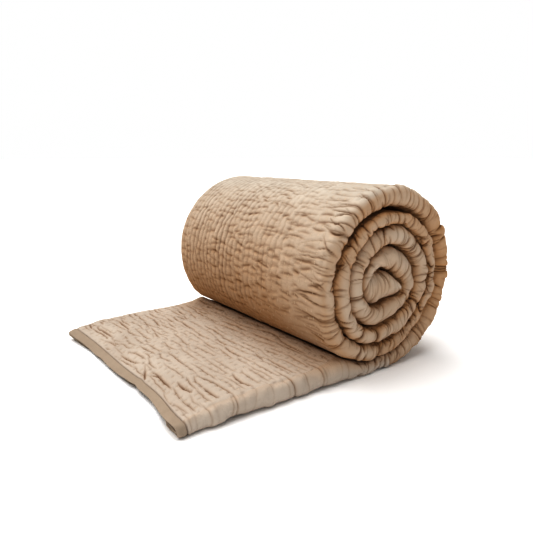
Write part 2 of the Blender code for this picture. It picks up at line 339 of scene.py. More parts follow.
class Stack:
    """The folded quilt's line from the bound end to its inner end, read at any length s along it."""

    def __init__(self):
        contact = seam_points(np.array([float(CONTACT)]), 0.0)[0, 0]
        lying = np.arange(-TAIL_REACH, contact, LINE_STEP)
        under = np.arange(CONTACT, CONTACT + 1, EIGHTH_STEP)
        rolled = np.arange(0, ROLL_END + EIGHTH_STEP / 2, EIGHTH_STEP)
        seat = seam_points(under, TURN_GAP / 2)
        outer, inner = roll_sides(rolled)
        tip = [np.array([side]) * ROLL_RADIUS + (0, ROLL_RADIUS) for side in CORE_POINT]
        on_floor = np.stack((lying, 0 * lying), 1), np.stack((seat[:, 0], 0 * under), 1)
        outer = np.vstack((*on_floor, outer, tip[0]))
        inner = np.vstack((np.stack((lying, tail_top(-lying)), 1), seat, inner, tip[1]))
        eighths = np.concatenate((0 * lying - 1, 0 * under - 1, rolled, [ROLL_END + 0.3]))
        middle = (outer + inner) / 2
        length = np.concatenate(([0], np.cumsum(np.linalg.norm(np.diff(middle, axis=0), axis=1))))
        self.s = np.arange(0, length[-1], LINE_STEP)
        columns = np.hstack((outer, inner)).T
        sides = [rounded(self.s, np.interp(self.s, length, column)) for column in columns]
        self.outer, self.inner = np.stack(sides[:2], axis=1), np.stack(sides[2:], axis=1)
        self.eighths = np.interp(self.s, length, eighths)
        self.contact = float(length[len(lying)])
        self.length = float(self.s[-1])

    def at(self, s):
        """Outer points, inner points, drift and eighths at the lengths s."""
        outer = np.stack([np.interp(s, self.s, self.outer[:, i]) for i in (0, 1)], axis=1)
        inner = np.stack([np.interp(s, self.s, self.inner[:, i]) for i in (0, 1)], axis=1)
        eighths = np.interp(s, self.s, self.eighths)
        drift = -smooth_between(TURN_DRIFT, np.clip(eighths / 8, 0, len(TURN_DRIFT) - 1.001))
        return outer, inner, drift, eighths

    def length_at(self, eighths):
        """The length s at which the rolled stretch reaches this many eighths of a turn."""
        rolled = self.eighths >= 0
        return float(np.interp(eighths, self.eighths[rolled], self.s[rolled]))


stack = Stack()


# ---------- a cut across the stack

def arc(centre_y, centre_level, radius, start, end, count, square=2.0):
    """Points round part of a circle, without the last. square above 2 makes it fuller at its corners."""
    angle = np.radians(np.linspace(start, end, count, endpoint=False))[None, :]
    across, up = np.cos(angle), np.sin(angle)
    if square != 2.0:
        across = np.sign(across) * np.abs(across) ** (2 / square)
        up = np.sign(up) * np.abs(up) ** (2 / square)
    return centre_y + radius * across, centre_level + radius * up


def run(start, end, level, count):
    """Points along one layer, without the last. A hidden run's points are closest near its ends."""
    share = np.linspace(0, 1, count, endpoint=False)[None, :]
    if count == HIDDEN_COLUMNS:
        share = 0.5 - 0.5 * np.cos(np.pi * share)
    return start + (end - start) * share, level + 0 * start + 0 * share


class Cut:
    """Points across the stack at many stations, as arrays (stations, columns): y, level, rows and top.

    The face is the quilt's outside, round the fold and the loop. The back is its inside, which shows
    only where the layers stand open. rows counts stitch rows, and top says how far a point belongs to
    the top layer, which overhangs the three below it.
    """

    def __init__(self, thick, columns, face=True, full_slit=False):
        thick = thick[:, None]
        cloth = (thick - 3 * LAYER_GAP) / 4
        half, pitch = cloth / 2, cloth + LAYER_GAP
        level = [half + i * pitch for i in range(4)]
        side = 1 if face else -1
        out = side * half
        near = -STACK_WIDTH / 2 + thick / 2
        far = STACK_WIDTH / 2 - cloth - LAYER_GAP / 2
        edge = STACK_WIDTH / 2 - EDGE_SETBACK - half
        slit = near if full_slit else far - SLIT_DEPTH
        loop = level[2] + pitch / 2
        middle = thick / 2
        fold = (thick - cloth) / 2 + out
        bend = (cloth + LAYER_GAP) / 2 + out
        turn = (cloth + LAYER_GAP) / 2 - out
        few = EDGE_COLUMNS - 1
        parts = [
            ("edge", arc(edge, level[0], half, 0, -90 * side, few)),
            ("outer", run(edge, near, level[0] - out, columns[0])),
            ("fold", arc(near, middle, fold, -90, -270, FOLD_COLUMNS, FOLD_SQUARE)),
            ("inner", run(near, far, level[3] + out, columns[1])),
            ("loop", arc(far, loop, bend, 90, -90, LOOP_COLUMNS)),
            ("under", run(far, slit, level[2] - out, HIDDEN_COLUMNS)),
            ("slit", arc(slit, middle, turn, 90, 270, EDGE_COLUMNS)),
            ("slit", run(slit, edge, level[1] + out, HIDDEN_COLUMNS)),
            ("edge", arc(edge, level[1], half, 90 * side, 0, EDGE_COLUMNS)),
        ]
        self.closed = not full_slit
        if self.closed:
            gap = (level[0] + level[1]) / 2
            parts += [
                ("edge", arc(edge, level[1], half, 0, -90, few)),
                ("slit", run(edge, edge - CREASE_IN, gap + LAYER_GAP / 2, few)),
                ("slit", run(edge - CREASE_IN, edge, gap, few)),
                ("edge", arc(edge, level[0], half, 90, 0, few)),
            ]
        else:
            parts.append(("edge", arc(edge, level[1], half, 0, 0, 1)))
        self.part = np.concatenate([[name] * y.shape[1] for name, (y, _) in parts])
        whole = [np.broadcast_arrays(y, level, thick)[:2] for _, (y, level) in parts]
        self.y, self.level = (np.concatenate(arrays, axis=1) for arrays in zip(*whole))
        self.thick, self.side = thick, side
        self.from_near = np.clip(self.y - near, 0, None)
        self.number_rows(near, far, edge)
        self.weigh_top(far)

    def number_rows(self, near, far, edge):
        round_fold = np.clip((np.cumsum(self.part == "fold") - 1) / FOLD_COLUMNS, 0, 1)[None, :]
        across = (self.y - near) / ROW_PITCH
        first, last = -(edge - near) / ROW_PITCH, FOLD_ROWS + (far - near) / ROW_PITCH
        inner_end = np.max(np.nonzero(self.part == "inner"))
        number = np.arange(len(self.part))
        step_y, step_level = np.diff(self.y, axis=1), np.diff(self.level, axis=1)
        path = np.pad(np.hypot(step_y, step_level), ((0, 0), (1, 0))) * (number > inner_end)
        rows = np.where(number > inner_end, last + np.cumsum(path, axis=1) / ROW_PITCH, first)
        rows = np.where(self.part == "outer", -across, rows)
        rows = np.where(self.part == "fold", FOLD_ROWS * round_fold, rows)
        self.rows = np.where(self.part == "inner", FOLD_ROWS + across, rows)

    def weigh_top(self, far):
        round_fold = np.cumsum(self.part == "fold") / FOLD_COLUMNS
        top = np.where(self.part == "fold", round_fold, 0.0)
        top = np.where(np.isin(self.part, ("inner", "loop")), 1.0, top)[None, :]
        under = np.clip(1 - (far - self.y) / LOOP_EASE, 0, 1)
        self.top = np.where(self.part == "under", under, top)

    def normals(self):
        """Directions (y, level) that look out of the skin."""
        y, level = self.y, self.level
        if self.closed:
            along = np.roll(y, -1, axis=1) - np.roll(y, 1, axis=1)
            rise = np.roll(level, -1, axis=1) - np.roll(level, 1, axis=1)
        else:
            along, rise = np.gradient(y, axis=1), np.gradient(level, axis=1)
        size = np.maximum(np.hypot(along, rise), 1e-9)
        return -rise / size * self.side, along / size * self.side


def end_shape(x, y, height, top):
    """How far the lying end strays along X and Z.

    It curves and is pressed flatter, its top layer overhangs and hangs down, the layers below it lie
    flatter still, and a crease pinches it.
    """
    from_end = x + TAIL_REACH
    fade = np.clip(1 - from_end / WAVE_LENGTH, 0, None) ** 2
    bay = END_BAY * bell((y - BAY_Y) / BAY_SPREAD)
    corner = CORNER_REACH * np.clip((y - CORNER_Y) / (STACK_WIDTH / 2 - CORNER_Y), 0, None) ** 2
    sag = ease(y, -STACK_WIDTH / 2, -STACK_WIDTH / 2 + SAG_FROM_FOLD)
    sag = sag * (1 - ease(y, STACK_WIDTH / 2 - SAG_FROM_LOOP, STACK_WIDTH / 2 + SAG_FROM_LOOP))
    droop = DROOP_NEAR + (DROOP_FAR - DROOP_NEAR) * ease(y, *DROOP_CHANGE)
    droop = droop + DROOP_UNEVEN * noise(41, y / 0.03)
    droop = droop * np.clip(1 - from_end / DROOP_LENGTH, 0, 1) ** 1.4
    squash = SQUASH * height * ease(-from_end, -SQUASH_LENGTH, 0)
    pinch = PINCH_IN * bell((y - PINCH_Y) / PINCH_WIDTH) * (1 - ease(from_end, 0, PINCH_LENGTH))
    ragged = RAGGED * (1 - top) * fade * noise(42, y / 0.022, height / 0.006)
    between = ease(y, *PRESS_STARTS) * (1 - ease(y, PRESS_FADES, STACK_WIDTH / 2))
    press = PRESS * between * (1 - ease(from_end, 0, PRESS_LENGTH))
    along = fade * (bay - corner + OVERHANG * (1 - top) + DRAW_IN * between) + pinch + ragged
    lowered = (1 - press) * (height - sag * squash * (1 - top)) - sag * droop * top
    return along, lowered - PINCH_DROP * pinch * top - height


def place(cut, sides, lift):
    """World points (stations, columns, 3) of the skin, raised by lift."""
    outer, inner, drift = sides
    out_y, out_level = cut.normals()
    y, level = cut.y + out_y * lift, cut.level + out_level * lift
    share = level / cut.thick
    x = outer[:, :1] + (inner[:, :1] - outer[:, :1]) * share
    z = outer[:, 1:] + (inner[:, 1:] - outer[:, 1:]) * share
    along, up = end_shape(x, cut.y, z, cut.top)
    return np.stack((x + along + AXIS_X, y + drift[:, None] + MIDDLE_Y, z + up), axis=2)


# ---------- creases and stitch rows

# A crease across the stitch rows: its middle's place, the rows it spans, its depth (1 is usual), width,
# slant and bow in metres, and the depth at its two ends and of its trough as shares of its own.
Crease = collections.namedtuple("Crease", "s low high depth width slant bow low_end high_end trough")


def crease(rng, s, low, high, depth, ends, width, slant=0.0, loose=1.0, trough=1.0):
    """A crease whose depth, width, slant and bow are left to chance. loose is for the last two."""
    span = high - low
    depth, width = depth * rng.uniform(0.6, 1.25), width * rng.uniform(0.8, 1.3)
    slant = slant + loose * rng.normal(0, 0.0012) * min(span, 3)
    bow = loose * rng.normal(0, 0.0007) * min(span, 3)
    return Crease(s, low, high, depth, width, slant, bow, *ends, trough)


def fold_creases():
    """Pleats round the near fold, from the bound end to the middle of the roll."""
    rng = np.random.default_rng(5)
    first_turn = stack.length_at(OFF_FLOOR), stack.length_at(CONTACT)
    found = []
    s = 0.019
    while s < stack.length - 0.004:
        lying = s < stack.contact + LYING_PAST_CONTACT
        outside = first_turn[0] < s < first_turn[1]
        slant = 0.0030 * float(noise(31, s / 0.05)) + 0.0008
        if outside:
            reach_out = rng.choice(RIM_PLEAT_ROWS) * rng.uniform(0.8, 1.2)
        else:
            reach_out = rng.uniform(0.2, 0.7)
        reach_in = rng.uniform(0.6, 2.6) if lying else rng.uniform(0.2, 0.7)
        if lying:
            low, high = rng.choice((-0.7, 0.2, 1.0)), FOLD_ROWS + reach_in
            deep = rng.choice(LYING_PLEAT_DEPTHS)
            found.append(crease(rng, s, low, high, deep, (0.5, 0.0), 0.0009, slant, 1.2, 0.8))
        else:
            kind = rng.integers(7)
            low, high, ends = -reach_out, FOLD_ROWS + reach_in, (0.0 if outside else 0.8, 0.8)
            if kind < 2 or (kind == 2 and outside):
                high, ends = rng.uniform(0.8, 2.1), (ends[0], 0.0)
            elif kind < 5:
                low, ends = rng.uniform(0.9, 2.3), (0.0, 0.8)
            deep = rng.choice(ROLLED_PLEAT_DEPTHS)
            width = rng.choice(ROLLED_PLEAT_WIDTHS)
            trough = 0.25 + 0.5 * (deep > 1)
            if outside and low < 0:
                deep, trough = rng.choice(RIM_PLEAT_DEPTHS), 0.8
            deep *= 1 - 0.4 * float(ease(s, stack.length_at(19), stack.length_at(24)))
            found.append(crease(rng, s, low, high, deep, ends, width, slant, 2.2, trough))
        s += rng.choice(LYING_PLEAT_STEPS if lying else ROLLED_PLEAT_STEPS)
    return found


def blocks(rng, low, high, lengths):
    """Splits the rows from low to high into runs of the given lengths, taken at random."""
    edges = [low]
    while edges[-1] < high:
        edges.append(edges[-1] + rng.choice(lengths))
    return list(zip(edges, edges[1:]))


def tail_creases():
    """Long creases across the lying end, in broken runs, finer towards the bound end and the roll."""
    rng = np.random.default_rng(6)
    found = []
    start, end = 0.0145, stack.contact + 0.014
    s = start
    while s < end:
        zone = rng.uniform(0.045, 0.070)
        for low, high in blocks(rng, FOLD_ROWS + 0.4, FOLD_ROWS + FACE_ROWS, [2, 3, 3, 4, 5]):
            at = s + rng.uniform(0, 0.009)
            farther = ease((low - FOLD_ROWS) / FACE_ROWS, 0.35, 0.8)
            while at < min(s + zone, end):
                by_roll = ease(at, stack.contact - 0.05, stack.contact - 0.01)
                fine = max(farther * (1 - ease(at, 0.05, 0.12)), by_roll)
                if rng.random() > 0.12:
                    depth = rng.uniform(0.4, 1.2)
                    top = high if rng.random() > 0.5 * fine else low + 1
                    first, last = low - rng.uniform(0, 0.5), top + rng.uniform(0, 0.5)
                    found.append(crease(rng, at, first, last, depth, (0.1, 0.1), 0.0008, -0.0012))
                at += rng.uniform(0.0085, 0.0130) * (1 - 0.30 * fine)
        s += zone
    return found


def roll_creases():
    """Short creases on the roll's outside: they cut the ribs between rows into puffs, laid as scales."""
    rng = np.random.default_rng(7)
    found = []
    start, overhead, end = (stack.length_at(eighths) for eighths in (OFF_FLOOR, TOPMOST, CONTACT + 0.1))
    s = start
    while s < end:
        zone = rng.uniform(0.05, 0.08)
        runs = blocks(rng, 1.2, FACE_ROWS + 1, [1, 1, 1, 2, 2])
        for low, high in runs + blocks(rng, 0.6, 9, [2, 3, 4]):
            near, far = 1 - ease(low, 5, 11), ease(low, 15, 24)
            long = high - low > 2
            if long and near < 0.3:
                continue
            at = s + rng.uniform(0, 0.010)
            while at < min(s + zone, end):
                on_top = bell((at - overhead) / 0.055)
                smooth = (1 - ease(end - at, 0.03, 0.10)) * (1 - ease(low, 8, 16))
                share = 0.60 if long else 0.92 - 0.25 * near
                if rng.random() < share:
                    depth = rng.uniform(0.30, 0.95) * (1 - 0.35 * far)
                    depth = depth * (1 - 0.45 * on_top) * (1 - 0.65 * smooth)
                    width = 0.0009 if long else 0.0013
                    found.append(crease(rng, at, -high - 0.2, -low + 0.2, depth, (0.15, 0.15), width))
                at += rng.uniform(0.0085, 0.0125) * (1.3 if long else 1.0)
        s += zone
    return found


def pinch_creases():
    """The crease that runs in from the pinched edge, and two beside it."""
    rng = np.random.default_rng(8)
    row = FOLD_ROWS + (PINCH_Y + STACK_WIDTH / 2 - 0.012) / ROW_PITCH
    return [
        crease(rng, s, row + low, row + high, depth, ends, width, slant, 0.2)
        for s, low, high, depth, *ends, width, slant in PINCH_CREASES
    ]


CREASES = fold_creases() + tail_creases() + roll_creases() + pinch_creases()
ROW_PHASE = np.random.default_rng(9).uniform(0, 1, 128)  # where each row's stitches start


def stitch_pitch(s):
    """From one stitch to the next, longer on the lying end."""
    return np.where(np.asarray(s) < stack.contact + 0.03, LYING_PITCH, ROLLED_PITCH)


class Quilting:
    """Relief of the quilted cloth, and its painted shade: how dark its creases and rows are painted, and
    how deep a painted shade it gets.
    """

    def __init__(self, s, cut, eighths):
        self.line, self.cut = s, cut
        self.s = s[:, None] + 0 * cut.y
        wobble = 0.10 * noise(21, self.s / 0.05, cut.rows / 2)
        self.rows = cut.rows + wobble + 0.10 * noise(22, self.s / 0.009, np.round(cut.rows) * 0.7)
        eighths = eighths[:, None] + 0 * self.s
        row_weight, crease_weight, swell = self.weights(eighths)
        self.shade = self.shades(eighths)
        self.lines, self.troughs = 0 * self.s, 0 * self.s
        for one in CREASES:
            self.fold_in(one)
        # Along the seam under the binding's edge the cloth is pressed into a groove and painted dark as its
        # shadow
        seam = bell((self.s - BINDING_WIDTH - 0.0004) / 0.0010)
        self.lines = np.maximum(self.lines * crease_weight, 0.9 * seam)
        self.troughs *= crease_weight
        # Painted shade spreads round each crease's trough
        self.shade = np.clip(self.shade + SHADE_IN_TROUGHS * self.troughs, 0, 1)
        off_row = self.rows - np.round(self.rows)
        lying = self.s < stack.contact + LYING_PAST_CONTACT
        # Stitch rows: pressed in as grooves, and painted dark as their shadow
        self.row_lines = row_weight * self.row_strength() * bell(off_row / np.where(lying, 0.11, 0.16))
        pillow = np.abs(np.sin(np.pi * self.rows)) ** 0.7
        self.lift = (
            swell * PILLOW * (pillow - 0.5)
            - ROW_DEPTH * self.row_lines
            - CREASE_DEPTH * self.lines
            - TROUGH_DEPTH * self.troughs
            + FACE_BUMPS * swell * noise(16, self.s / 0.016, self.rows / 1.5)
            + FOLD_BUMPS * (cut.part == "fold") * noise(17, self.s / 0.011, self.rows)
        )

    def fold_in(self, one):
        """Draws one crease into the lines and troughs, which keep the deepest at each point."""
        reach = 2.5 * TROUGH_SPREAD * one.width + abs(one.slant) + abs(one.bow)
        i, j = np.searchsorted(self.line, (one.s - reach, one.s + reach))
        if i >= j:
            return
        rows = self.cut.rows[(i + j) // 2]
        columns = np.nonzero((rows >= one.low) & (rows <= one.high))[0]
        if not len(columns):
            return
        window = slice(i, j), slice(columns[0], columns[-1] + 1)
        share = np.clip((self.cut.rows[window] - one.low) / (one.high - one.low), 0, 1)
        bow = one.bow * np.sin(np.pi * share)
        wander = 0.0008 * noise(33, (one.high - one.low) * share * 0.9 + one.s * 977)
        across = self.s[window] - one.s - one.slant * (share - 0.5) - bow - wander
        quarter = np.pi / 2 * share
        ends = np.maximum(one.low_end * np.cos(quarter), one.high_end * np.sin(quarter))
        depth = one.depth * np.maximum(np.sin(np.pi * share) ** 0.7, ends)
        for field, spread, part in (self.lines, 1, 1), (self.troughs, TROUGH_SPREAD, one.trough):
            drawn = part * depth * bell(across / (spread * one.width))
            field[window] = np.maximum(field[window], drawn)

    def row_strength(self):
        """A row's depth along s, drawn in where its stitches are."""
        row = np.round(self.rows).astype(int)
        swing = np.cos(2 * np.pi * (self.s / stitch_pitch(self.s) + ROW_PHASE[row % len(ROW_PHASE)]))
        lying = 1 - ease(self.s, stack.contact + 0.02, stack.contact + 0.03)
        dashes = np.clip(1.3 * swing - 0.1, 0, 1.1)
        ribs = 0.75 + 0.25 * swing + 0.30 * noise(15, row * 0.9, self.s / 0.03)
        return ribs + lying * (dashes - ribs)

    def shades(self, eighths):
        """How far the cloth is painted brown as shade: beside other turns, and where the roll comes down.
        """
        cut = self.cut
        rolled, outside = eighths > 0, eighths < CONTACT
        height = cut.level / cut.thick
        falling = np.interp(eighths, *SHADE_ON_FACE) * (0.75 + 0.25 * ease(cut.from_near, 0.02, 0.12))
        beside = np.abs(2 * height - 1) ** 3
        nose = np.interp(eighths, *SHADE_ON_NOSES) + 0.10 * rolled * noise(51, self.s / 0.04, height * 2)
        nose = nose + beside * (0.15 + 0.35 * rolled)
        rim = (rolled & outside) * (1 - ease(height, 0.0, 0.35))
        fold = (cut.part == "fold") * (nose * (1 - rim) + falling * rim)
        face = (cut.part == "outer") * np.where(outside, falling, 1.0) + (cut.part == "inner")
        hidden = (cut.part == "under") | (cut.part == "slit")
        hems = (cut.part == "edge") * np.where(outside, falling, SHADE_ON_LOOPS)
        far_side = hems + SHADE_ON_LOOPS * (cut.part == "loop") + SHADE_IN_SLIT * hidden
        above = np.where(cut.part == "fold", ease(height, 0.3, 1.0), cut.part == "inner")
        lying = above * (eighths < 0) * ease(self.s, stack.contact - 0.075, stack.contact + 0.004)
        return fold + rolled * (face + far_side) + SHADE_BY_ROLL * lying

    def weights(self, eighths):
        """Strength of the rows, of the creases and of the swelling, by eighth of a turn, row and length."""
        s, cut = self.s, self.cut
        names = "outer", "inner", "fold", "loop", "edge"
        part = {name: (cut.part == name)[None, :] + 0 * s for name in names}
        row = -cut.rows * part["outer"]
        beside_fold = bell(cut.from_near / 0.008) * (part["outer"] + part["inner"])
        roll_face = part["outer"] * ease(eighths, 0.25, 0.8) * (1 - ease(eighths, 6.95, 7.1))
        before_roll = 1 - ease(s, stack.contact + 0.004, stack.contact + 0.014)
        tail_face = part["inner"] * (eighths < 0) * before_roll
        on_top = bell((eighths - TOPMOST) / 0.75)
        low = ease(eighths, 5.7, 6.6) * (1 - ease(row, 8, 16))
        rows = roll_face * (0.10 + 0.45 * ease(row, 3, 9) + 0.45 * ease(row, 12, 20))
        rows = rows * (1 - 0.3 * on_top) * (1 - 0.6 * low) + 0.6 * tail_face
        hem = np.maximum(part["loop"], part["edge"])
        swell = roll_face * (0.35 + 0.65 * ease(row, 2, 8)) * (1 - 0.4 * on_top) * (1 - 0.5 * low)
        swell = swell + 0.5 * tail_face
        creases = np.maximum(np.maximum(roll_face, tail_face), np.maximum(part["fold"], beside_fold))
        rows = np.maximum(rows, 0.3 * hem)
        swell = np.maximum(swell, np.maximum(0.25 * part["fold"], 0.5 * hem))
        beyond_seam = ease(s, BINDING_WIDTH + 0.001, BINDING_WIDTH + 0.007)
        return rows * beyond_seam, creases * beyond_seam, swell * beyond_seam


# ---------- meshes

def link_object(name, data):
    item = bpy.data.objects.new(name, data)
    bpy.context.scene.collection.objects.link(item)
    return item


def link_mesh(name, points, faces, material):
    mesh = bpy.data.meshes.new(name)
    mesh.from_pydata(points.reshape(-1, 3).tolist(), [], faces)
    mesh.shade_smooth()
    mesh.materials.append(material)
    return link_object(name, mesh)


def grid_faces(rows, columns, wrap_columns=False, wrap_rows=False, flip=False):
    index = np.arange(rows * columns).reshape(rows, columns)
    if wrap_columns:
        index = np.hstack((index, index[:, :1]))
    if wrap_rows:
        index = np.vstack((index, index[:1]))
    corners = [index[:-1, :-1], index[:-1, 1:], index[1:, 1:], index[1:, :-1]]
    return np.stack(corners[::-1] if flip else corners, axis=2).reshape(-1, 4)


def grid_normals(points, closed, flip):
    along = np.gradient(points, axis=0)
    if closed:
        across = np.roll(points, -1, axis=1) - np.roll(points, 1, axis=1)
    else:
        across = np.gradient(points, axis=1)
    normals = np.cross(across, along)
    normals /= np.maximum(np.linalg.norm(normals, axis=2, keepdims=True), 1e-12)
    return -normals if flip else normals


class Stretch:
    """One stretch of the quilt's face or back, as a grid of points with a spare row at each end."""

    def __init__(self, name, start, end, columns, face=True, full_slit=False, capped=False):
        count = int(round((end - start) / STATION_STEP))
        step = (end - start) / count
        self.name, self.capped = name, capped
        self.s = start + step * np.arange(-1, count + 2)
        *sides, eighths = stack.at(np.clip(self.s, 0, stack.length))
        self.cut = Cut(np.linalg.norm(sides[1] - sides[0], axis=1), columns, face, full_slit)
        self.quilting = Quilting(self.s, self.cut, eighths)
        tucked = TUCK * (1 - ease(self.s, BINDING_WIDTH - 0.001, BINDING_WIDTH + 0.003))[:, None]
        self.points = place(self.cut, sides, (self.quilting.lift if face else 0.0) - tucked)
        self.normals = grid_normals(self.points, self.cut.closed, not face)

    def build(self, material):
        cut, quilting = self.cut, self.quilting
        points = self.points[1:-1]
        rows, columns = points.shape[:2]
        faces = grid_faces(rows, columns, wrap_columns=cut.closed, flip=cut.side < 0).tolist()
        if self.capped:
            faces.append(list(range((rows - 1) * columns, rows * columns)))
        piece = link_mesh(self.name, points, faces, material)
        mesh = piece.data
        mesh.normals_split_custom_set_from_vertices(self.normals[1:-1].reshape(-1, 3).tolist())
        loops = np.empty(len(mesh.loops), dtype=np.int32)
        mesh.loops.foreach_get("vertex_index", loops)
        flat = np.stack((quilting.s, cut.rows * ROW_PITCH), axis=2)[1:-1].reshape(-1, 2)
        uv = mesh.uv_layers.new(name="flat_cloth")
        uv.data.foreach_set("uv", flat[loops].astype(np.float32).ravel())
        # Painted shade for the material: crease and row darkness, and how deep a painted shade the cloth
        # gets
        painted_shade_layers = (quilting.lines, quilting.row_lines, quilting.shade, 1 + 0 * quilting.lines)
        layer = mesh.color_attributes.new(name="painted_shade_layers", type="FLOAT_COLOR", domain="POINT")
        layer.data.foreach_set("color", np.stack(painted_shade_layers, axis=2)[1:-1].astype(np.float32).ravel())
        return piece

    def stitch_seats(self, rows, first, last):
        """Middle, direction and outward normal of each stitch on these rows between two lengths."""
        step = self.s[1] - self.s[0]
        first, last = max(first, self.s[3]), min(last, self.s[-4])
        pitch = float(stitch_pitch(first))
        shows = np.nonzero(np.isin(self.cut.part, ("outer", "fold", "inner")))[0]
        seats = []
        for row in rows:
            phase = ROW_PHASE[row % len(ROW_PHASE)]
            numbers = np.arange(math.ceil(first / pitch + phase), math.floor(last / pitch + phase) + 1)
            for s in (numbers - phase) * pitch:
                i = int(round((s - self.s[0]) / step))
                j = shows[np.argmin(np.abs(self.quilting.rows[i, shows] - row))]
                along = self.points[i + 2, j] - self.points[i - 2, j]
                seats.append((self.points[i, j], along, self.normals[i, j]))
        return seats


# ---------- materials

def new_material(name, roughness, specular=0.5):
    material = bpy.data.materials.new(name)
    material.use_nodes = True
    nodes, links = material.node_tree.nodes, material.node_tree.links
    shader = nodes["Principled BSDF"]
    shader.inputs["Roughness"].default_value = roughness
    shader.inputs["Specular IOR Level"].default_value = specular
    return material, nodes, links, shader


def math_node(nodes, links, kind, a, b):
    node = nodes.new("ShaderNodeMath")
    node.operation = kind
    for socket, value in zip(node.inputs, (a, b)):
        if isinstance(value, (int, float)):
            socket.default_value = value
        else:
            links.new(value, socket)
    return node.outputs[0]


def noise_node(nodes, links, scale, detail, vector=None):
    """Noise over the object's own coordinates, or over the vector given."""
    if vector is None:
        vector = nodes.new("ShaderNodeTexCoord").outputs["Object"]
    node = nodes.new("ShaderNodeTexNoise")
    node.inputs["Scale"].default_value = scale
    node.inputs["Detail"].default_value = detail
    links.new(vector, node.inputs["Vector"])
    return node.outputs["Fac"]


def colour_ramp(nodes, links, factor, low, high, places=(0.0, 1.0)):
    """A colour that goes from low to high between two places on the factor."""
    node = nodes.new("ShaderNodeValToRGB")
    for element, place, colour in zip(node.color_ramp.elements, places, (low, high)):
        element.position = place
        element.color = (*colour, 1)
    links.new(factor, node.inputs[0])
    return node.outputs["Color"]


def turned_to(nodes, links, factor, colour, other):
    """A colour that turns to another, fixed one by the factor."""
    node = nodes.new("ShaderNodeMix")
    node.data_type = "RGBA"
    node.inputs["B"].default_value = (*other, 1)
    links.new(factor, node.inputs["Factor"])
    links.new(colour, node.inputs["A"])
    return node.outputs["Result"]


def add_bump(nodes, links, shader, height):
    bump = nodes.new("ShaderNodeBump")
    bump.inputs["Distance"].default_value = 1.0
    links.new(height, bump.inputs["Height"])
    links.new(bump.outputs["Normal"], shader.inputs["Normal"])


def cloth_material(name, dark, light):
    """Soft washed cotton, uneven in tone and crinkled, with painted shade: browner where shade falls,
    darker in its creases and rows as their painted shadow.
    """
    material, nodes, links, shader = new_material(name, 0.95, 0.05)

    def combine(kind, a, b):
        return math_node(nodes, links, kind, a, b)

    flat = nodes.new("ShaderNodeUVMap")
    flat.uv_map = "flat_cloth"
    painted_shade_layers = nodes.new("ShaderNodeVertexColor")
    painted_shade_layers.layer_name = "painted_shade_layers"
    split = nodes.new("ShaderNodeSeparateColor")
    links.new(painted_shade_layers.outputs["Color"], split.inputs[0])
    painted_crease_shade, painted_row_shade, in_shade = split.outputs

    patches = noise_node(nodes, links, 14.0, 4.0)
    colour = colour_ramp(nodes, links, patches, dark, light, (0.30, 0.70))
    # Painted shade: the cloth turns brown as far as the shade channel says
    colour = turned_to(nodes, links, combine("MINIMUM", in_shade, 1.0), colour, CLOTH_IN_SHADE)
    # Painted shadow in the creases and along the stitch rows
    lines = combine("ADD", combine("MULTIPLY", painted_crease_shade, 0.75), combine("MULTIPLY", painted_row_shade, 0.45))
    colour = turned_to(nodes, links, combine("MINIMUM", lines, 0.85), colour, CLOTH_IN_CREASE_SHADOW)
    links.new(colour, shader.inputs["Base Color"])

    stretch = nodes.new("ShaderNodeMapping")
    stretch.inputs["Scale"].default_value = (330.0, 100.0, 1.0)
    links.new(flat.outputs["UV"], stretch.inputs["Vector"])
    crinkle = noise_node(nodes, links, 1.0, 4.0, stretch.outputs["Vector"])
    height = combine("MULTIPLY", crinkle, 0.0011)
    height = combine("ADD", height, combine("MULTIPLY", noise_node(nodes, links, 170.0, 3.0), 0.0008))
    height = combine("ADD", height, combine("MULTIPLY", noise_node(nodes, links, 1100.0, 1.0), 0.00016))
    add_bump(nodes, links, shader, height)
    return material


def binding_material():
    """The same cotton unquilted: smooth, a little greyer, with a fine weave."""
    material, nodes, links, shader = new_material("binding_cotton", 0.88, 0.08)
    colour = colour_ramp(nodes, links, noise_node(nodes, links, 60.0, 4.0), *BINDING_CLOTH)
    links.new(colour, shader.inputs["Base Color"])
    weave = math_node(nodes, links, "MULTIPLY", noise_node(nodes, links, 1100.0, 1.0), 0.00018)
    crinkle = math_node(nodes, links, "MULTIPLY", noise_node(nodes, links, 130.0, 2.0), 0.0005)
    add_bump(nodes, links, shader, math_node(nodes, links, "ADD", weave, crinkle))
    return material


def thread_material():
    """Cotton thread, a little lighter than the cloth, uneven along its twist."""
    material, nodes, links, shader = new_material("stitch_thread", 0.75)
    colour = colour_ramp(nodes, links, noise_node(nodes, links, 900.0, 1.0), *THREAD)
    links.new(colour, shader.inputs["Base Color"])
    return material


# ---------- stage

def build_floor():
    material, _, _, shader = new_material("pale_floor", 0.95)
    shader.inputs["Base Color"].default_value = (*FLOOR, 1)
    corners = FLOOR_REACH * np.array(((-1, -1, 0), (1, -1, 0), (1, 1, 0), (-1, 1, 0)))
    floor = link_mesh("floor", corners, [(0, 1, 2, 3)], material)
    floor.location.z = -FLOOR_BELOW


def build_light():
    """A white horizon, a dimmer sky above it and one large soft lamp overhead."""
    world = bpy.data.worlds.new("studio")
    world.use_nodes = True
    nodes, links = world.node_tree.nodes, world.node_tree.links
    where = nodes.new("ShaderNodeTexCoord").outputs["Generated"]
    split = nodes.new("ShaderNodeSeparateXYZ")
    links.new(where, split.inputs[0])
    (low, bright), (high, dim) = HORIZON, SKY
    colour = colour_ramp(nodes, links, split.outputs["Z"], (bright,) * 3, (dim,) * 3, (low, high))
    links.new(colour, nodes["Background"].inputs["Color"])
    bpy.context.scene.world = world
    data = bpy.data.lights.new("overhead", "SUN")
    data.energy = LAMP_STRENGTH
    data.angle = math.radians(LAMP_SPREAD)
    lamp = link_object("overhead", data)
    lamp.rotation_euler = Vector(LAMP_DIRECTION).to_track_quat("-Z", "Y").to_euler()
    settings = bpy.context.scene.view_settings
    settings.view_transform = "Standard"
    settings.gamma = GAMMA


